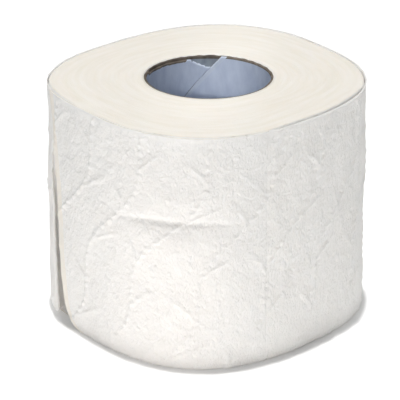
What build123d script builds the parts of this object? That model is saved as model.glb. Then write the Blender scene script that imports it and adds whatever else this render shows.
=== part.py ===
"""Toilet paper roll standing on its end.

Two pieces: the wound tissue, whose last turn ends in a loose tail, and the spiral-wound cardboard core.
Millimetres, +Z up.  The origin is on the core's axis, at the level that the roll stands on.
"""

import math
import os

from build123d import *

# Overall sizes
SHEET_WIDTH = 90.0  # width of the tissue and the core, so the height of the standing roll
ROLL_RADIUS = 59.0  # mean radius of the wound tissue
CORE_OUTER_RADIUS = 24.2  # the first turn of tissue is glued straight on to the core
CORE_PLY = 0.45  # one of the core's two plies of greyboard

# The outline of a roll that was squeezed in its pack: bulges as shares of the radius, and where they point
OVAL_SHARE, OVAL_TURN = 0.033, 71.0
PEAR_SHARE, PEAR_TURN = 0.008, 55.0
SQUARE_SHARE, SQUARE_TURN = 0.039, -4.5
WINDING_OFFSET_Y = -1.6  # centre of the winding, from the core's axis

# The tail, the loose end of the last turn
TISSUE = 0.6  # thickness of the embossed tissue where nothing presses on it
TAIL_END = 192.5  # direction of the tail's cut edge, at the top
TAIL_ROOT = 256.0  # direction at which the tail lifts off the turn below
TAIL_LIFT = 1.6  # gap under the cut edge
ROOT_GAP = 0.3  # gap where the tail lifts off
TAIL_SKEW = 10.5  # how much shorter the tail is at the bottom
TAIL_CORNER = 11.0  # rounding of its lower corner

# The core's seam, where the turns of its inner ply meet, and the ply torn away beside it at the rim
SEAM_RISE = 160.0  # height of one full turn of the left-handed seam
SEAM_TURN = 77.0  # direction of the seam at the top rim
SEAM_WIDTH = 0.8
SEAM_DEPTH = 0.3
TEAR_ARC = 88.0  # degrees of rim that lost the ply
TEAR_DEPTH = 4.5  # height of ply lost beside the seam
TEAR_DEPTH_FAR = 1.0  # height of ply lost at the tear's other end

POINT_STEP = 7.5  # degrees between the points of a spline
OVERCUT = 2.0  # how far a cutter runs past what it cuts

CORE_INNER_RADIUS = CORE_OUTER_RADIUS - 2 * CORE_PLY


def roll_radius(angle):
    """Radius of the squeezed winding in a direction, from the winding's own centre."""
    oval = OVAL_SHARE * math.cos(math.radians(2 * (angle - OVAL_TURN)))
    pear = PEAR_SHARE * math.cos(math.radians(3 * (angle - PEAR_TURN)))
    square = SQUARE_SHARE * math.cos(math.radians(4 * (angle - SQUARE_TURN)))
    return ROLL_RADIUS * (1 + oval + pear + square)


def roll_point(angle, inward=0.0):
    """A point of the plan, a distance inside the squeezed winding's outline."""
    reach = roll_radius(angle) - inward
    turn = math.radians(angle)
    return (reach * math.cos(turn), WINDING_OFFSET_Y + reach * math.sin(turn))


def wound_point(angle):
    """The outer face of the last turn, which starts at the tail's root and ends under it, a turn on."""
    return roll_point(angle, (TISSUE + ROOT_GAP) * (angle - TAIL_ROOT) / 360)


def tail_point(angle, inward=0.0):
    """The tail's outer face, or a point of its plan that lies inside that face."""
    share = (TAIL_ROOT - angle) / (TAIL_ROOT - TAIL_END)
    return roll_point(angle, inward - (TAIL_LIFT - ROOT_GAP) * share**1.5)


def angles_between(first, last):
    """Evenly spaced directions from first to last, about POINT_STEP apart."""
    steps = max(2, round((last - first) / POINT_STEP))
    return [first + (last - first) * step / steps for step in range(steps + 1)]


def upright_plane(angle, distance=0.0):
    """An upright plane that faces in a direction, with its own x axis turning anticlockwise."""
    turn = math.radians(angle)
    out = Vector(math.cos(turn), math.sin(turn), 0)
    return Plane(origin=out * distance, x_dir=(-out.Y, out.X, 0), z_dir=out)


# Tail: a band of tissue, cut to its skewed edge and rounded lower corner
with BuildPart() as tail:
    with BuildSketch():
        with BuildLine():
            tail_outside = Spline([tail_point(angle) for angle in angles_between(TAIL_END, TAIL_ROOT)])
            tail_inside = Spline([tail_point(angle, TISSUE) for angle in angles_between(TAIL_END, TAIL_ROOT)])
            Line(tail_outside @ 0, tail_inside @ 0)
            Line(tail_outside @ 1, tail_inside @ 1)
        make_face()
    extrude(amount=SHEET_WIDTH)
    edge_plane = upright_plane(TAIL_END)
    edge_x = edge_plane.to_local_coords(Vector(*tail_point(TAIL_END))).X
    corner_start = (edge_x + TAIL_SKEW, TAIL_CORNER)
    corner_end = (edge_x + TAIL_SKEW + TAIL_CORNER, 0)
    outer_x = edge_x - TAIL_CORNER
    with BuildSketch(edge_plane):
        with BuildLine():
            RadiusArc(corner_start, corner_end, -TAIL_CORNER)
            Polyline(
                corner_end,
                (corner_end[0], -OVERCUT),
                (outer_x, -OVERCUT),
                (outer_x, SHEET_WIDTH),
                (edge_x, SHEET_WIDTH),
                corner_start,
            )
        make_face()
    extrude(amount=2 * ROLL_RADIUS, mode=Mode.SUBTRACT)

# Paper roll: every turn of the tissue, with the tail
with BuildPart() as paper_roll:
    with BuildSketch():
        with BuildLine():
            last_turn = Spline([wound_point(angle) for angle in angles_between(TAIL_ROOT, TAIL_ROOT + 360)])
            Line(last_turn @ 0, last_turn @ 1)
        make_face()
        Circle(CORE_OUTER_RADIUS, mode=Mode.SUBTRACT)
    extrude(amount=SHEET_WIDTH)
    add(tail.part)

# The cutter for the seam, run along it from below the core to above it
seam_start = SEAM_TURN + 360 * (SHEET_WIDTH + OVERCUT) / SEAM_RISE
seam_x_dir = (math.cos(math.radians(seam_start)), math.sin(math.radians(seam_start)), 0)
with BuildPart() as seam_cutter:
    with BuildLine(Plane(origin=(0, 0, -OVERCUT), x_dir=seam_x_dir, z_dir=(0, 0, 1))) as seam_path:
        Helix(SEAM_RISE, SHEET_WIDTH + 2 * OVERCUT, CORE_INNER_RADIUS, lefthand=True)
    with BuildSketch(Plane(origin=seam_path.line @ 0, x_dir=seam_x_dir, z_dir=seam_path.line % 0)):
        Rectangle(2 * SEAM_DEPTH, SEAM_WIDTH)
    sweep(is_frenet=True)

# The cutter for the torn ply, drawn as seen from the axis and run out to the joint between the plies
tear_middle = SEAM_TURN + TEAR_ARC / 2
seam_lean = 360 * TEAR_DEPTH / SEAM_RISE  # how far the seam turns within the tear's depth
tear_near_x = CORE_INNER_RADIUS * math.sin(math.radians(TEAR_ARC / 2))
tear_lean_x = CORE_INNER_RADIUS * math.sin(math.radians(TEAR_ARC / 2 - seam_lean))
with BuildPart() as tear_cutter:
    with BuildSketch(Plane.XY.offset(SHEET_WIDTH - TEAR_DEPTH - OVERCUT)):
        Circle(CORE_OUTER_RADIUS - CORE_PLY)
    extrude(amount=TEAR_DEPTH + 2 * OVERCUT)
    with BuildSketch(upright_plane(tear_middle)):
        with BuildLine():
            Polyline(
                (-tear_near_x, SHEET_WIDTH + OVERCUT),
                (-tear_near_x, SHEET_WIDTH),
                (-tear_lean_x, SHEET_WIDTH - TEAR_DEPTH),
                (tear_near_x, SHEET_WIDTH - TEAR_DEPTH_FAR),
                (tear_near_x, SHEET_WIDTH + OVERCUT),
                close=True,
            )
        make_face()
    extrude(amount=CORE_OUTER_RADIUS, mode=Mode.INTERSECT)

# Cardboard core
with BuildPart() as cardboard_core:
    with BuildSketch():
        Circle(CORE_OUTER_RADIUS)
        Circle(CORE_INNER_RADIUS, mode=Mode.SUBTRACT)
    extrude(amount=SHEET_WIDTH)
    add(seam_cutter.part, mode=Mode.SUBTRACT)
    add(tear_cutter.part, mode=Mode.SUBTRACT)

paper_roll.part.label = "paper_roll"
cardboard_core.part.label = "cardboard_core"

os.makedirs("parts", exist_ok=True)
export_step(paper_roll.part, "parts/paper_roll.step")
export_step(cardboard_core.part, "parts/cardboard_core.step")

for piece in (paper_roll, cardboard_core):
    print(piece.part.label, "volume", round(piece.part.volume), "mm3, solids", len(piece.solids()))
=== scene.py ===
import math

import bmesh
import bpy
from mathutils import Matrix, Vector, noise


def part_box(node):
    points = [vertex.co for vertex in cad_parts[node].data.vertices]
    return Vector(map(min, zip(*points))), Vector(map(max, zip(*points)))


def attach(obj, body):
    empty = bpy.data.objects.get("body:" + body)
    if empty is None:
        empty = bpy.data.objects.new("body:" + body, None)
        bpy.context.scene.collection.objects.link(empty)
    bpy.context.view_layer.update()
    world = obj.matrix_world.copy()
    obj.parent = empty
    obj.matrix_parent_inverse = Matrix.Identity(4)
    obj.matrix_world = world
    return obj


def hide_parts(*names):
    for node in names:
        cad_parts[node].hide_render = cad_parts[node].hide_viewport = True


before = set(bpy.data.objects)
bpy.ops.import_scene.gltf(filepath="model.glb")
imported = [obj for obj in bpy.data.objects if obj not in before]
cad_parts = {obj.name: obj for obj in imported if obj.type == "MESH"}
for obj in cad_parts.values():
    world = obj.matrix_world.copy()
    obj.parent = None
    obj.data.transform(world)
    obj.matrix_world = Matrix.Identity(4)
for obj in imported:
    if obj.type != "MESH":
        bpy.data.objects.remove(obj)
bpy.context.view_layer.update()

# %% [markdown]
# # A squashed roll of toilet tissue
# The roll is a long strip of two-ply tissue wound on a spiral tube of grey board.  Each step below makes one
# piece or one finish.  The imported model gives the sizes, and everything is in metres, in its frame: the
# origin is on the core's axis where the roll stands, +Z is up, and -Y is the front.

MM = 0.001
roll_low, roll_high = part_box("paper_roll")
core_low, core_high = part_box("cardboard_core")
HEIGHT = roll_high.z
CORE_RADIUS = (core_high.x - core_low.x) / 2
print("roll height", round(HEIGHT / MM, 1), "mm, core radius", round(CORE_RADIUS / MM, 1), "mm")

# %% [markdown]
# ## The squeezed plan
# Rolls are packed tightly in a bag, so each one comes out a little square, with soft corners and flatter
# sides.  A table of points could give that plan, but a circle with three gentle waves on it says the same in
# one line: the second wave makes it oval, the third pear-shaped and the fourth square.

# %% The plan of the roll
WAVES = ((2, 0.033, 71.0), (3, 0.008, 55.0), (4, 0.039, -4.5))  # bulges, share of radius, direction


def plan_share(angle):
    """Reach of the squeezed plan in a direction in degrees, as a share of the mean radius."""
    return 1 + sum(share * math.cos(math.radians(bulges * (angle - turn))) for bulges, share, turn in WAVES)


reaches_y = [plan_share(angle) * math.sin(math.radians(angle)) for angle in range(360)]
ROLL_RADIUS = (roll_high.y - roll_low.y) / (max(reaches_y) - min(reaches_y))
WINDING_Y = (roll_high.y + roll_low.y) / 2 - ROLL_RADIUS * (max(reaches_y) + min(reaches_y)) / 2
print("mean radius", round(ROLL_RADIUS / MM, 2), "mm, winding centre y", round(WINDING_Y / MM, 2), "mm")

# %% [markdown]
# ## Small shapes to build with
# Nearly every dent and swelling below is one of two curves: a smooth step from 0 to 1, and a bell that is 1
# in the middle and dies away on both sides.  Writing them once keeps the later steps short.

# %% A step and a bell
def step(low, high, value):
    """0 below low, 1 above high, and a smooth rise between them."""
    share = min(max((value - low) / (high - low), 0.0), 1.0)
    return share * share * (3 - 2 * share)


def bell(distance, width):
    """1 at no distance, fading smoothly to nothing at about twice the width."""
    return math.exp(-((distance / width) ** 2))


# %% [markdown]
# ## The relief of the tissue
# The strip is pressed between an embossing roller and a rubber one, so it carries a raised drawing of twigs,
# and the loose outer turns were handled, so they carry hollows and a fold too.  A bump map would do for a
# flat picture, but real depth also shows at the outline and holds up from every side.  So one function gives
# the height of the surface at a place on the unrolled strip, and every mesh of tissue is moved out by it.
# Only the crepe, which is finer than the mesh, is left to the material.

# %% Twigs pressed into the strip
TWIGS_ROUND = 15  # stems round the roll, so that the drawing meets itself
TWIG_RISE = 52 * MM  # height of one repeat of a stem
TWIG_LEAN = 0.55  # how far a stem leans for each metre that it rises
LINE = 0.95 * MM  # half the width of a pressed line
EMBOSS = 0.5 * MM  # its height
DOT_PITCH = 3.0 * MM  # the pins of the embossing roller, along a stem
LEAVES = 3  # leaves to one repeat of a stem, on alternate sides
LEAF_REACH = 10 * MM


def twig_height(angle, z):
    """Height of the pressed drawing at a place on the unrolled strip."""
    pitch = 2 * math.pi * ROLL_RADIUS / TWIGS_ROUND
    repeat = z / TWIG_RISE
    sway = TWIG_LEAN * z + 4.5 * MM * math.sin(2 * math.pi * repeat)
    place = (math.radians(angle) * ROLL_RADIUS - sway) / pitch
    column = math.floor(place)
    across = (place - column - 0.5) * pitch
    dots = 0.65 + 0.35 * math.sin(2 * math.pi * z / DOT_PITCH)
    height = bell(across, LINE) * dots
    leaf = (repeat + 0.37 * (column % TWIGS_ROUND)) * LEAVES
    side = 1 if math.floor(leaf) % 2 else -1
    reach = side * across / LEAF_REACH
    if 0 < reach < 1:
        rise = (leaf % 1.0 - 0.2 - 0.75 * reach + 0.3 * reach * reach) * TWIG_RISE / LEAVES
        height = max(height, bell(rise, LINE) * (1 - reach**3) * 0.9)
    return EMBOSS * height


# %% Hollows, swellings and the fold
FOLD_Z = 57.0 * MM
FOLD_MIDDLE = 256.0  # direction, in degrees
FOLD_REACH = 26.0  # degrees each way
CREASE = 0.7 * MM  # depth of the sharp line of the fold
VALLEY = 0.6 * MM  # and of the soft hollow round it
SWELLING = 0.6 * MM  # height of the swelling under it
BROAD_WAVES = 0.5 * MM  # heights of the waves that handling left
NARROW_WAVES = 0.3 * MM


def soft_waves(angle, z):
    """Gentle hollows and swellings that handling leaves in the loose outer turns."""
    turn = math.radians(angle)
    broad = Vector((math.cos(turn), math.sin(turn), z / ROLL_RADIUS)) * 2.6
    narrow = Vector((math.cos(turn) * 11, math.sin(turn) * 11, z / ROLL_RADIUS * 6))
    return BROAD_WAVES * noise.noise(broad) + NARROW_WAVES * noise.noise(narrow)


def fold_height(angle, z):
    """A shallow valley across the front, where the last turn buckled, over a soft swelling."""
    off = (angle - FOLD_MIDDLE) / FOLD_REACH
    if abs(off) >= 1:
        return 0.0
    above = z - FOLD_Z - MM * (off - 1.5 * off * off)
    valley = -CREASE * bell(above, 1.1 * MM) - VALLEY * bell(above, 5 * MM)
    swelling = SWELLING * bell(above + 9 * MM, 8 * MM)
    return (1 - off * off) ** 1.5 * (valley + swelling)


def relief(angle, z):
    """How far the tissue's surface stands out from the plain winding."""
    return twig_height(angle, z) + soft_waves(angle, z) + fold_height(angle, z)


# %% [markdown]
# ## Node helpers
# A material is a tree of small nodes.  One function adds a node of any kind, with its settings, its input
# values and its links, so that each finish below reads as a short list.

# %% Colours and nodes
def linear(code):
    """Linear colour of an sRGB hex code."""
    shares = [int(code[place:place + 2], 16) / 255 for place in (0, 2, 4)]
    return tuple(s / 12.92 if s <= 0.04045 else ((s + 0.055) / 1.055) ** 2.4 for s in shares) + (1.0,)


def add_node(tree, kind, values=None, links=None, **settings):
    """Adds a node: settings are its own properties, values and links are for its inputs."""
    node = tree.nodes.new(kind)
    for name, setting in settings.items():
        setattr(node, name, setting)
    for name, value in (values or {}).items():
        node.inputs[name].default_value = value
    for name, output in (links or {}).items():
        tree.links.new(output, node.inputs[name])
    return node


def new_material(name, **values):
    """A material with a Principled shader, and that shader's constant inputs."""
    material = bpy.data.materials.new(name)
    material.use_nodes = True
    shader = material.node_tree.nodes["Principled BSDF"]
    for key, value in values.items():
        shader.inputs[key.replace("_", " ")].default_value = value
    return material, material.node_tree, shader


def mottle(tree, coordinates, size, colors, detail=2.0):
    """A colour that drifts between two hex colours in patches of a size in metres."""
    patches = add_node(
        tree, "ShaderNodeTexNoise", {"Scale": 1 / size, "Detail": detail}, {"Vector": coordinates}
    )
    ramp = add_node(tree, "ShaderNodeValToRGB", links={"Fac": patches.outputs["Fac"]})
    ramp.color_ramp.elements[0].position = 0.3
    ramp.color_ramp.elements[0].color = linear(colors[0])
    ramp.color_ramp.elements[1].position = 0.7
    ramp.color_ramp.elements[1].color = linear(colors[1])
    return ramp.outputs["Color"]


def bumps(tree, coordinates, size, depth, normal=None, detail=3.0):
    """The normal of a surface with grains of a size and a depth, both in metres."""
    grains = add_node(
        tree, "ShaderNodeTexNoise",
        {"Scale": 1 / size, "Detail": detail, "Roughness": 0.6}, {"Vector": coordinates},
    )
    links = {"Height": grains.outputs["Fac"]}
    if normal:
        links["Normal"] = normal
    return add_node(tree, "ShaderNodeBump", {"Strength": 1.0, "Distance": depth}, links).outputs["Normal"]


# %% [markdown]
# ## Bleached tissue
# The tissue is bleached pulp, creped off a hot drum and embossed.  To the eye that is a matt, warm white with
# a fine grain of crepe that runs up the strip, and an edge that glows a little where light gets through the
# fibres.  So the shader is rough, with next to no gloss, a little light carried under the surface, and a
# trace of fuzz.  Real crepe is about 0.3 mm from ridge to ridge; it is drawn at 0.8 mm so that it shows.

# %% Tissue
CREPE = 0.8 * MM


def tissue_finish():
    """The face of the strip."""
    material, tree, shader = new_material(
        "bleached creped tissue", Roughness=0.95, Specular_IOR_Level=0.15, Sheen_Weight=0.12,
        Sheen_Roughness=0.7, Subsurface_Weight=0.25, Subsurface_Radius=(1.0, 0.9, 0.8),
        Subsurface_Scale=1.2 * MM,
    )
    place = add_node(tree, "ShaderNodeTexCoord").outputs["Object"]
    upright = add_node(tree, "ShaderNodeMapping", {"Scale": (1, 1, 0.5)}, {"Vector": place})
    crepe = bumps(tree, upright.outputs["Vector"], CREPE, 0.4 * MM)
    cockle = bumps(tree, place, 3.5 * MM, 0.7 * MM, crepe)
    tree.links.new(mottle(tree, place, 22 * MM, ("F3F1EE", "F8F6F3")), shader.inputs["Base Color"])
    tree.links.new(cockle, shader.inputs["Normal"])
    return material


# %% [markdown]
# ## Cut edges of the turns
# A saw cuts the log into rolls, so an end face is hundreds of soft paper edges side by side.  It looks
# creamier than the face of the strip, because light that falls between the edges comes back warmer, and it
# has faint rings that follow the squeezed plan.  Rings on plain coordinates would be circles, so the mesh
# carries its own attribute, the depth of paper wound so far, and the grain is stretched along it.

# %% End faces
LAYER = 0.9 * MM  # several turns, because one is too thin to show


def cut_edge_finish():
    """The sawn end of the winding."""
    material, tree, shader = new_material(
        "sawn edges of wound tissue and painted edge glow", Roughness=0.97, Specular_IOR_Level=0.1, Sheen_Weight=0.1,
        Sheen_Roughness=0.8, Subsurface_Weight=0.3, Subsurface_Radius=(1.0, 0.85, 0.7),
        Subsurface_Scale=1.5 * MM,
    )
    place = add_node(tree, "ShaderNodeTexCoord").outputs["Object"]
    turns = add_node(tree, "ShaderNodeAttribute", attribute_name="turns").outputs["Vector"]
    fluff = bumps(tree, place, 0.9 * MM, 0.12 * MM)
    rings = bumps(tree, turns, LAYER, 0.2 * MM, fluff)
    tree.links.new(mottle(tree, turns, 2.2 * MM, ("F2EBDF", "F8F2EA"), 4.0), shader.inputs["Base Color"])
    tree.links.new(rings, shader.inputs["Normal"])
    return material


# %% [markdown]
# ## Grey board
# The core is board made from waste paper: grey, faintly blue, with darker and lighter fibres and no gloss.
# Where a ply is torn, its inside shows, which is greyer and hairier than its pressed face.  The saw leaves
# the rims brown, and the same brown is painted a little way down the inside under the rim, as painted shade.
# Cut edges are pale, and a band along the seam is painted pale too, as a painted highlight where the lifted
# edge catches the light.  One function makes all four, since they differ only in colour and in how far the
# fibres stand up.

# %% Board, faced, torn, sawn with painted rim shade, and cut with a painted seam highlight
def board_finish(name, colors, fibre_depth):
    """Board of recycled pulp, which drifts between a dark and a light colour."""
    material, tree, shader = new_material(name, Roughness=0.88, Specular_IOR_Level=0.25)
    place = add_node(tree, "ShaderNodeTexCoord").outputs["Object"]
    slanted = add_node(
        tree, "ShaderNodeMapping", {"Scale": (1, 1, 0.45), "Rotation": (0.3, 0.5, 0)}, {"Vector": place}
    )
    fibres = bumps(tree, slanted.outputs["Vector"], 0.7 * MM, fibre_depth, detail=5.0)
    blend = mottle(tree, slanted.outputs["Vector"], 3.5 * MM, colors, 5.0)
    tree.links.new(blend, shader.inputs["Base Color"])
    tree.links.new(fibres, shader.inputs["Normal"])
    return material


tissue = tissue_finish()
sawn_ends_and_edge_glow = cut_edge_finish()
faced_board = board_finish("faced grey board", ("CCD5E8", "DEE6F6"), 0.12 * MM)
torn_board = board_finish("torn grey board", ("8A929C", "ACB4BC"), 0.3 * MM)
sawn_board_and_rim_shade = board_finish("sawn grey board and painted rim shade", ("5D554D", "8B8074"), 0.3 * MM)
cut_board_and_seam_highlight = board_finish("cut grey board and painted seam highlight", ("D2DBEB", "E2E9F6"), 0.15 * MM)
print("materials:", [material.name for material in bpy.data.materials])

# %% [markdown]
# ## From section to solid
# The roll and its core are both turned shapes, so both start from a section: a closed loop of edges in the
# XZ plane.  Long edges are cut into short runs where the surface is going to be modelled finely.  The spin
# operator slows down with the square of its steps, so it carries the section through a quarter turn only,
# and three copies of that quarter close the ring.

# %% Section, spin and finish
QUARTERS = 4


def section(shape, points):
    """A closed loop through points of the XZ plane: x, z and the longest run allowed on the way in."""
    corners = [shape.verts.new((x, 0, z)) for x, z, _ in points]
    cuts_layer = shape.edges.layers.int.new("cuts")
    for place, (_, _, run) in enumerate(points):
        edge = shape.edges.new((corners[place - 1], corners[place]))
        edge[cuts_layer] = math.ceil(edge.calc_length() / run) - 1
    for cuts in sorted({edge[cuts_layer] for edge in shape.edges} - {0}):
        chosen = [edge for edge in shape.edges if edge[cuts_layer] == cuts]
        bmesh.ops.subdivide_edges(shape, edges=chosen, cuts=cuts)


def spin_round(shape, steps):
    """Carries the section once round the Z axis, and closes the ring."""
    around = {"cent": (0, 0, 0), "axis": (0, 0, 1), "angle": 2 * math.pi / QUARTERS}
    bmesh.ops.spin(
        shape, geom=shape.verts[:] + shape.edges[:], dvec=(0, 0, 0), steps=steps // QUARTERS,
        use_merge=False, use_duplicate=False, **around,
    )
    quarter = shape.verts[:] + shape.edges[:] + shape.faces[:]
    for turn in range(1, QUARTERS):
        copied = bmesh.ops.duplicate(shape, geom=quarter)["geom"]
        points = [part for part in copied if isinstance(part, bmesh.types.BMVert)]
        rotation = Matrix.Rotation(turn * 2 * math.pi / QUARTERS, 3, "Z")
        bmesh.ops.rotate(shape, verts=points, cent=(0, 0, 0), matrix=rotation)
    bmesh.ops.remove_doubles(shape, verts=shape.verts[:], dist=0.001 * MM)
    bmesh.ops.recalc_face_normals(shape, faces=shape.faces[:])


def finish_piece(name, shape, materials, node):
    """Makes a smooth piece of the bmesh.  It rides on the root and stands for a node of the frame."""
    mesh = bpy.data.meshes.new(name)
    triangles = sum(len(face.verts) - 2 for face in shape.faces)
    shape.to_mesh(mesh)
    shape.free()
    mesh.shade_smooth()
    for material in materials:
        mesh.materials.append(material)
    piece = bpy.data.objects.new(name, mesh)
    bpy.context.scene.collection.objects.link(piece)
    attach(piece, "root")
    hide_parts(node)
    print(name, "has", triangles, "triangles")
    return piece


# %% [markdown]
# ## The wound tissue
# The roll is hundreds of turns pressed together, and only its outside shows, so it is one closed skin.  Its
# section is drawn for a plain round roll: a rectangle with soft rims, and a narrow slot behind the last
# turn's top edge, which stands a little away from the rest.  After the spin, each point moves from the round
# plan to the squeezed one, in under the loose sheet, and out by the relief.
#
# Beside the sheet's cut edge the turn below has buckled into a pleat that leans over a hollow, and the dark
# line between the two is the mouth of that hollow.  A sum of curves can't lean over itself, so the pleat is
# a short table instead: at each direction, how far the skin slides round the roll and how far it sinks.

# %% Values of the winding
TISSUE = 0.6 * MM
RIM = 0.8 * MM  # rounding of the end faces
SLOT_DEPTH = 4.0 * MM  # how far down the gap behind the last turn goes
SLOT = 0.3 * MM  # its width in the plain section
SHEET_EDGE_TOP = 192.5  # direction of the loose sheet's cut edge at the top, in degrees
SHEET_EDGE_FOOT = 202.7  # and at the foot
PERFORATION = 291.0  # direction of the perforated line where the loose sheet begins
STEPS_ROUND = 540
ROW = 0.74 * MM  # height of one row of faces on the side
DENT_REACH = 16 * MM  # how deep under the skin a dent or a pleat is still felt, so that nothing folds over
FOOT_DENT = 2.2 * MM  # how far the foot is pushed in at the front left
FOOT_DENT_TURN = 201  # direction of the middle of that dent
FOOT_DENT_TOP = 26 * MM  # height where it ends
SLOT_SHUT = 0.04 * MM  # width of the gap behind the last turn where it is pressed shut
SLOT_OPEN = 0.9 * MM  # and how much wider it is where it stands open
GROOVE = 0.35 * MM  # depth of the perforated line
PERFORATION_PITCH = 3.6 * MM  # from hole to hole
LEFT_SWELL = 0.8 * MM  # how far the turns below bulge at the left, beside the cut edge
LEFT_MIDDLE = 181.0  # direction of the middle of that bulge
END_WAVES = 0.35 * MM  # unevenness of the sawn end
SKIN_SAG = 0.25 * MM  # how much lower the last turn sits at the right of the front
RING_GRAIN = 0.12  # how much the grain of the end faces is stretched along the rings


def covered(angle):
    """1 where the loose sheet lies over the winding, 0 elsewhere."""
    past_perforation = step(PERFORATION - 1.1, PERFORATION - 0.3, angle)
    return step(SHEET_EDGE_TOP - 26, SHEET_EDGE_TOP - 6, angle) * (1 - past_perforation)


def slot_width(angle):
    """Width of the gap behind the top edge of the last turn."""
    return SLOT_SHUT + SLOT_OPEN * step(289, 300, angle) * (1 - step(336, 356, angle))


def foot_dent(angle, z):
    """How far the foot of the roll is pushed in at its front left corner."""
    return FOOT_DENT * bell(angle - FOOT_DENT_TURN, 10) * (1 - step(0, FOOT_DENT_TOP, z))


PLEAT = (  # direction, degrees that the skin slides towards the cut edge, and mm that it sinks
    (174.0, 0.0, 0.0), (182.0, 3.0, -0.6), (188.67, 7.6, -1.5), (189.33, 7.3, -0.6), (190.0, 4.0, -0.2),
    (190.67, 0.5, 0.4), (191.33, -1.8, 1.3), (192.0, -2.6, 3.0), (193.33, -2.5, 4.2), (197.33, 0.0, 4.2),
    (208.0, 0.0, 0.0),
)


def pleat(angle, z):
    """Lean and depth of the pleat beside the cut edge, which grows towards the foot."""
    strength = step(0, 2 * MM, z) * (1 - step(15 * MM, 86 * MM, z))
    for (low, low_lean, low_depth), (high, high_lean, high_depth) in zip(PLEAT, PLEAT[1:]):
        if low <= angle < high:
            share = (angle - low) / (high - low)
            lean = low_lean + share * (high_lean - low_lean)
            depth = low_depth + share * (high_depth - low_depth)
            return strength * lean, strength * depth * MM
    return 0.0, 0.0


def perforation(angle, z):
    """Depth of the dotted groove that the perforation makes, deepest in the lower half."""
    dots = 0.6 + 0.4 * math.sin(2 * math.pi * z / PERFORATION_PITCH)
    depth = GROOVE * dots * step(4 * MM, 14 * MM, z) * (1 - step(50 * MM, 62 * MM, z))
    return depth * bell(angle - PERFORATION, 0.5)


def squeezed(x, y, z):
    """Where a point of the plain round roll goes in the real one, and its place among the turns.

    Three shares say what moves a point: deep for the dents, skin for the relief of the outermost paper,
    and behind for the wall of the slot behind the last turn.
    """
    radius = math.hypot(x, y)
    angle = math.degrees(math.atan2(y, x)) % 360
    lean, hollow = pleat(angle, z)
    deep = step(ROLL_RADIUS - DENT_REACH, ROLL_RADIUS - RIM, radius)
    turn = math.radians(angle + deep * lean)
    share = min((radius - CORE_RADIUS) / (ROLL_RADIUS - 3 * MM - CORE_RADIUS), 1.0)
    skin = step(ROLL_RADIUS - 0.75 * MM, ROLL_RADIUS - 0.1 * MM, radius)
    behind = 1 - step(ROLL_RADIUS - TISSUE - SLOT, ROLL_RADIUS - TISSUE - 0.3 * SLOT, radius)
    radius += share * ROLL_RADIUS * (plan_share(angle) - 1)
    radius += skin * (relief(angle, z) - TISSUE * covered(angle) - perforation(angle, z))
    radius += deep * (LEFT_SWELL * bell(angle - LEFT_MIDDLE, 8) - foot_dent(angle, z) - hollow)
    level = z
    if z > HEIGHT - SLOT_DEPTH - MM:
        radius -= share * behind * slot_width(angle)
    if z > HEIGHT / 2:
        uneven = share * END_WAVES * noise.noise(Vector((x, y, 0)) * 45)
        level += uneven - skin * SKIN_SAG * step(280, 300, angle)
    place = Vector((radius * math.cos(turn), share * WINDING_Y + radius * math.sin(turn), level))
    wound = share * (ROLL_RADIUS - CORE_RADIUS)
    return place, Vector((wound, RING_GRAIN * place.x, RING_GRAIN * place.y))


# %% Make the wound tissue
inside = ROLL_RADIUS - TISSUE
winding = bmesh.new()
section(winding, [
    (CORE_RADIUS, 0, 15 * MM),
    (ROLL_RADIUS - RIM, 0, 3.5 * MM),
    (ROLL_RADIUS - 0.3 * RIM, 0.3 * RIM, MM),
    (ROLL_RADIUS, RIM, MM),
    (ROLL_RADIUS, HEIGHT - 0.3 * MM, ROW),
    (ROLL_RADIUS - 0.5 * TISSUE, HEIGHT, MM),
    (inside, HEIGHT - 0.3 * MM, MM),
    (inside, HEIGHT - SLOT_DEPTH, 1.5 * MM),
    (inside - SLOT, HEIGHT - SLOT_DEPTH, MM),
    (inside - SLOT, HEIGHT - RIM, 1.5 * MM),
    (inside - SLOT - 0.3 * RIM, HEIGHT - 0.3 * RIM, MM),
    (inside - SLOT - RIM, HEIGHT, MM),
    (CORE_RADIUS, HEIGHT, 1.4 * MM),
])
spin_round(winding, STEPS_ROUND)
turns_layer = winding.verts.layers.float_vector.new("turns")
for vertex in winding.verts:
    vertex.co, vertex[turns_layer] = squeezed(*vertex.co)
for face in winding.faces:
    middle = face.calc_center_median()
    on_end = abs(face.normal.z) > 0.75 and (middle.z > HEIGHT - 2 * MM or middle.z < MM)
    face.material_index = 1 if on_end else 0
finish_piece("wound_tissue", winding, [tissue, sawn_ends_and_edge_glow], "paper_roll")

# %% [markdown]
# ## The loose sheet
# The last sheet of the strip starts at a perforated line on the right of the front and ends in a free edge
# at the left, where it stands away from the roll, more so at the foot, with its lower corner rounded off.
# Cloth simulation could let it curl by itself, but the sheet is stiff for its size and its shape is known,
# so a grid is bent round the roll instead: one function says how far it stands off, another where its cut
# edge runs.  Solidify gives it the thickness of tissue, and its rim takes the finish of the sawn edges.

# %% Values of the loose sheet
SHEET_COLUMNS = 176
SHEET_ROWS = 150
CORNER = 11 * MM  # rounding of the lower corner
EDGE_CURVE = 1.7  # above 1, the cut edge stands nearly upright in its lower half
STAND_OFF_TOP = 0.7 * MM
STAND_OFF_FOOT = 2.1 * MM
LIFT_REACH = 24.0  # degrees of the sheet that stand away from the turn below
EDGE_GLOW_COLUMNS = 6  # columns of the grid beside the cut edge painted in the creamier end-face finish, as painted glow of light through the thin edge
SHEET_DENT = 0.4  # share of the dent in the foot that the sheet follows
TUCK = 0.08 * MM  # how far the start of the sheet dips into the perforated line


def stand_off(angle, z):
    """Gap between the loose sheet and the turn that it covers."""
    from_edge = angle - SHEET_EDGE_FOOT - (SHEET_EDGE_TOP - SHEET_EDGE_FOOT) * z / HEIGHT
    share = 1 - min(max(from_edge / LIFT_REACH, 0.0), 1.0)
    full = STAND_OFF_FOOT + (STAND_OFF_TOP - STAND_OFF_FOOT) * (z / HEIGHT) ** 1.4
    return full * share**2


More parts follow.
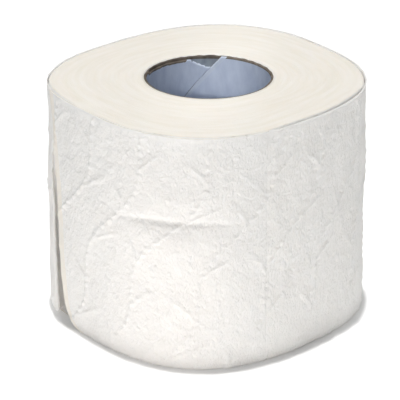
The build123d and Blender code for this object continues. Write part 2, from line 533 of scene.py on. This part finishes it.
def sheet_edge(z):
    """Direction of the cut edge at a height, with the rounded lower corner."""
    skewed = SHEET_EDGE_FOOT + (SHEET_EDGE_TOP - SHEET_EDGE_FOOT) * (z / HEIGHT) ** EDGE_CURVE
    corner = CORNER - math.sqrt(CORNER**2 - max(CORNER - z, 0.0) ** 2)
    ragged = 0.2 * MM * noise.noise(Vector((0, 7, z * 260)))
    return skewed + math.degrees((corner + ragged) / ROLL_RADIUS)


# %% Bend a grid round the roll
loose = bmesh.new()
bmesh.ops.create_grid(loose, x_segments=SHEET_COLUMNS, y_segments=SHEET_ROWS, size=0.5)
for vertex in loose.verts:
    z = (vertex.co.y + 0.5) * HEIGHT
    edge = sheet_edge(z)
    angle = edge + (vertex.co.x + 0.5) * (PERFORATION + 0.2 - edge)
    radius = ROLL_RADIUS * plan_share(angle) + relief(angle, z) + stand_off(angle, z)
    tucked = TUCK * step(PERFORATION - 0.5, PERFORATION + 0.2, angle)
    radius -= foot_dent(angle, z) * SHEET_DENT + perforation(angle, z) + tucked
    turn = math.radians(angle)
    level = z - 0.2 * MM * step(HEIGHT - MM, HEIGHT, z) * step(210, 270, angle)
    vertex.co = Vector((radius * math.cos(turn), WINDING_Y + radius * math.sin(turn), level))
bmesh.ops.recalc_face_normals(loose, faces=loose.faces[:])
if sum(face.normal.y for face in loose.faces) > 0:
    bmesh.ops.reverse_faces(loose, faces=loose.faces[:])
# painted light: the strip beside the cut edge takes the creamier finish, as the glow of light through thin
# tissue
for face in loose.faces:
    face.material_index = 1 if face.index % SHEET_COLUMNS < EDGE_GLOW_COLUMNS else 0
loose_sheet = finish_piece("loose_sheet", loose, [tissue, sawn_ends_and_edge_glow], "paper_roll")
thickness = loose_sheet.modifiers.new("thickness of tissue", "SOLIDIFY")
thickness.thickness = TISSUE
thickness.offset = -1
thickness.material_offset_rim = 1

# %% [markdown]
# ## The core
# Two strips of board are wound in a spiral and glued, one over the other.  The outer ply shows at the rims
# and where the inner one is torn, so it is a plain spun tube, torn board below and sawn board at the rim,
# whose brown runs a little way down the inside as painted shade.  The inner ply is what one sees inside.  Its
# edges meet along a left-handed helix, where a pale band is painted as the highlight on the lifted edge, and
# its corner beside that seam is torn away at the top.  A spun tube has no such seam, so the inner ply is a
# grid that is rolled up and sheared until its two sides meet along the helix, and Solidify makes it board.

# %% The outer ply
PLY = 0.45 * MM
CORE_STEPS = 192
DARK_RIM_HEIGHT = 1.6 * MM  # height of the rim painted brown: the saw's colour on the cut top, and painted shade down the inside below it
outer_ply = bmesh.new()
section(outer_ply, [
    (CORE_RADIUS, 0, 10 * MM),
    (CORE_RADIUS, HEIGHT - 0.15 * MM, 10 * MM),
    (CORE_RADIUS - 0.5 * PLY, HEIGHT, MM),
    (CORE_RADIUS - PLY, HEIGHT - 0.15 * MM, MM),
    (CORE_RADIUS - PLY, HEIGHT - 9 * MM, 0.7 * MM),
    (CORE_RADIUS - PLY, 0, 15 * MM),
])
spin_round(outer_ply, CORE_STEPS)
for vertex in outer_ply.verts:
    if vertex.co.z > HEIGHT - MM:
        vertex.co.z += 0.35 * MM * noise.noise(Vector(vertex.co) * 420) - 0.15 * MM
# the brown of the saw on the top, and below it painted shade on the inside of the ply
for face in outer_ply.faces:
    face.material_index = 1 if face.calc_center_median().z > HEIGHT - DARK_RIM_HEIGHT else 0
finish_piece("core_outer_ply", outer_ply, [torn_board, sawn_board_and_rim_shade], "cardboard_core")

# %% Values of the inner ply
SEAM_RISE = 160 * MM  # height of one full turn of the seam
SEAM_TURN = 77.0  # direction of the seam at the top rim, in degrees
SEAM_GAP = 0.05 * MM
SEAM_LIFT = 0.06 * MM  # how far the right-hand edge of the seam stands off
LIFT_ARC = 9  # degrees over which it does
SEAM_HIGHLIGHT_BAND = 7.2  # degrees of that edge painted pale, a painted highlight where the lifted edge catches the light
DARK_TOP_ROW_FROM = 30  # degrees from the seam past which the ply's top row is painted brown, the saw's colour on its upper edge and painted shade under the rim; nearer the seam the edge is torn
TEAR_ARC = 88.0  # degrees of rim that lost the ply
TEAR_DEPTH = 4.5 * MM
TEAR_DEPTH_FAR = 1.0 * MM
PLY_COLUMNS = 200
PLY_ROWS = 110


def torn_depth(across):
    """Height of ply lost at the rim, an angle round from the seam."""
    if across > TEAR_ARC:
        return 0.0
    slope = TEAR_DEPTH_FAR + (TEAR_DEPTH - TEAR_DEPTH_FAR) * (1 - step(0, 34, across))
    ragged = 0.5 * MM * noise.noise(Vector((across * 0.2, 3, 0)))
    ragged += 0.3 * MM * noise.noise(Vector((across * 0.8, 5, 0)))
    return (slope + ragged) * (1 - step(TEAR_ARC - 6, TEAR_ARC, across))


# %% Roll up the inner ply
inner_ply = bmesh.new()
bmesh.ops.create_grid(inner_ply, x_segments=PLY_COLUMNS, y_segments=PLY_ROWS, size=0.5)
gap_turn = math.degrees(SEAM_GAP / CORE_RADIUS)
for vertex in inner_ply.verts:
    across = (vertex.co.x + 0.5) * (360 - gap_turn)
    share = vertex.co.y + 0.5
    top = HEIGHT - 0.2 * MM - torn_depth(across)
    z = top * share
    turn = math.radians(SEAM_TURN + gap_turn + across + 360 * (HEIGHT - z) / SEAM_RISE)
    lifted = SEAM_LIFT * step(360 - gap_turn - LIFT_ARC, 360 - gap_turn, across)
    frayed = 0.25 * MM * step(top - 1.5 * MM, top, z) * step(0, 4, TEAR_ARC - across)
    radius = CORE_RADIUS - PLY - lifted - frayed - 0.08 * MM * noise.noise(Vector(vertex.co) * 9)
    vertex.co = Vector((radius * math.cos(turn), radius * math.sin(turn), z))
bmesh.ops.recalc_face_normals(inner_ply, faces=inner_ply.faces[:])
test_face = inner_ply.faces[:][0]
if test_face.normal.dot(test_face.calc_center_median() * Vector((1, 1, 0))) < 0:
    bmesh.ops.reverse_faces(inner_ply, faces=inner_ply.faces[:])
for face in inner_ply.faces:
    column, row = face.index % PLY_COLUMNS, face.index // PLY_COLUMNS
    across = 360 * column / PLY_COLUMNS
    # painted highlight: the band beside the seam takes the pale board
    if across > 360 - SEAM_HIGHLIGHT_BAND:
        face.material_index = 1
    # painted shade: the top row inside the ply takes the brown of the sawn rim
    elif row == PLY_ROWS - 1 and across > DARK_TOP_ROW_FROM:
        face.material_index = 2
inner_finishes = [faced_board, cut_board_and_seam_highlight, sawn_board_and_rim_shade, sawn_board_and_rim_shade]
inner_core = finish_piece("core_inner_ply", inner_ply, inner_finishes, "cardboard_core")
ply_thickness = inner_core.modifiers.new("thickness of board", "SOLIDIFY")
ply_thickness.thickness = PLY
ply_thickness.offset = -1
ply_thickness.material_offset_rim = 1

# %% [markdown]
# ## The studio
# A white object on white needs light that models it softly.  A picture of a studio wrapped round the scene
# could give it, but lamps can be set one by one.  A dome of slightly cool light fills every side.  A lamp far
# overhead, a little behind the roll, lights the end face and drops a short shadow in front of the foot.  Two
# large lamps in front, high and at the left, give the side its slow fall from light to shade, three small
# warm ones do what white card laid on the table would, and a narrow beam reaches the inside of the core.

# %% Floor
FLOOR_HALF = 3.0
PAINTED_GLOW_NEAR = 0.02  # painted glow of the floor itself close to the roll, kept low as a painted shade round the foot
PAINTED_GLOW_FAR = 0.3  # and away from it
PAINTED_SHADE_REACH = 62 * MM  # distance from the core's axis up to which the floor's painted glow stays low, as painted shade
FULL_GLOW_REACH = 92 * MM  # and from which it glows in full
PAINTED_SHADE_OVAL = (1.3, 1, 1)  # the patch of painted shade is an oval, narrower from left to right


def painted_glow_floor_finish():
    """Matt white floor with painted light: a glow of its own that dies away near the roll, as a painted shade
    round the foot.
    """
    material, tree, shader = new_material(
        "white floor with painted glow and painted shade", Roughness=1.0, Specular_IOR_Level=0.0,
        Emission_Color=(1, 1, 1, 1),
    )
    place = add_node(tree, "ShaderNodeTexCoord").outputs["Object"]
    oval = add_node(tree, "ShaderNodeMapping", {"Scale": PAINTED_SHADE_OVAL}, {"Vector": place}).outputs["Vector"]
    away = add_node(tree, "ShaderNodeVectorMath", links={"Vector": oval}, operation="LENGTH")
    glow = add_node(
        tree, "ShaderNodeMapRange",
        {"From Min": PAINTED_SHADE_REACH, "From Max": FULL_GLOW_REACH, "To Min": PAINTED_GLOW_NEAR, "To Max": PAINTED_GLOW_FAR},
        {"Value": away.outputs["Value"]}, interpolation_type="SMOOTHSTEP",
    )
    tree.links.new(mottle(tree, place, 80 * MM, ("F6F6F6", "F9F9F9")), shader.inputs["Base Color"])
    # painted light: the floor glows of itself, dimmer near the roll, which paints a shade round the foot
    tree.links.new(glow.outputs["Result"], shader.inputs["Emission Strength"])
    return material


floor_shape = bmesh.new()
bmesh.ops.create_grid(floor_shape, x_segments=1, y_segments=1, size=FLOOR_HALF)
floor_mesh = bpy.data.meshes.new("floor")
floor_shape.to_mesh(floor_mesh)
floor_shape.free()
floor_mesh.materials.append(painted_glow_floor_finish())
floor = bpy.data.objects.new("floor", floor_mesh)
bpy.context.scene.collection.objects.link(floor)
print("floor", 2 * FLOOR_HALF, "m wide")

# %% Lights
DOME_LEVEL = 0.21
TOP = (0, 0, HEIGHT)
MIDDLE = (0, 0, HEIGHT / 2)


def soft_lamp(name, place, target, width, level, color, spread=180):
    """A square lamp that gives a white surface facing it a brightness of level at its target.

    The spread, in degrees, is how far its beam opens.
    """
    lamp = bpy.data.lights.new(name, "AREA")
    lamp.size = width
    way = Vector(target) - Vector(place)
    half_beam = math.radians(spread) / 2
    lamp.spread = 2 * half_beam
    lamp.energy = math.pi**2 * level * way.length_squared * (1 - half_beam / math.tan(half_beam))
    lamp.color = color
    holder = bpy.data.objects.new(name, lamp)
    holder.location = place
    holder.rotation_mode = "QUATERNION"
    holder.rotation_quaternion = way.to_track_quat("-Z", "Y")
    holder.visible_camera = False
    bpy.context.scene.collection.objects.link(holder)


world = bpy.data.worlds.new("studio dome")
bpy.context.scene.world = world
world.use_nodes = True
world.node_tree.nodes["Background"].inputs["Color"].default_value = (0.96, 1.0, 1.0, 1)
world.node_tree.nodes["Background"].inputs["Strength"].default_value = DOME_LEVEL
bpy.context.scene.view_settings.view_transform = "Standard"
soft_lamp("overhead", (-0.03, 0.11, 4.0), TOP, 0.1, 0.73, (1.0, 0.99, 0.98))
soft_lamp("front high", (-0.15, -0.85, 0.6), TOP, 0.4, 0.055, (0.9, 0.96, 1.0))
soft_lamp("front left", (-0.55, -1.0, 0.4), MIDDLE, 0.5, 0.045, (0.95, 0.97, 1.0))
soft_lamp("core", (-0.09, -0.535, 0.278), (0.006, 0.0233, 0.083), 0.03, 0.8, (0.96, 0.98, 1.0), 4)
soft_lamp("low card", (-0.045, -0.165, 0.01), (-0.015, -0.06, 0.006), 0.06, 0.33, (1.0, 0.89, 0.82))
soft_lamp("low left card", (-0.1, -0.14, 0.01), (-0.04, -0.045, 0.01), 0.05, 0.13, (1.0, 0.92, 0.86))
soft_lamp("low right card", (0.1, -0.165, 0.01), (0.035, -0.05, 0.006), 0.06, 0.12, (1.0, 0.92, 0.88))
print("lamps:", [lamp.name for lamp in bpy.data.lights])

# %% [markdown]
# ## The camera
# A long lens from about a metre away, a little above the roll, keeps its sides nearly upright while the end
# face and the inside of the core still show.

# %% Camera
CAMERA_DISTANCE = 0.99
CAMERA_RISE = math.radians(22.65)
AIM_LEFT = 3.2 * MM  # the camera looks a little to the left of the axis
AIM_DROP = 5.1 * MM  # and a little below the middle
aim = Vector((-AIM_LEFT, 0, HEIGHT / 2 - AIM_DROP))
back = Vector((0, -math.cos(CAMERA_RISE), math.sin(CAMERA_RISE)))
lens = bpy.data.cameras.new("camera")
lens.sensor_width = 36
lens.lens = 234
lens.clip_start = 0.05
camera = bpy.data.objects.new("camera", lens)
camera.location = aim + back * CAMERA_DISTANCE
camera.rotation_mode = "QUATERNION"
camera.rotation_quaternion = (-back).to_track_quat("-Z", "Y")
bpy.context.scene.collection.objects.link(camera)
bpy.context.scene.camera = camera
print("camera", [round(value, 3) for value in camera.location], "lens", lens.lens, "mm")
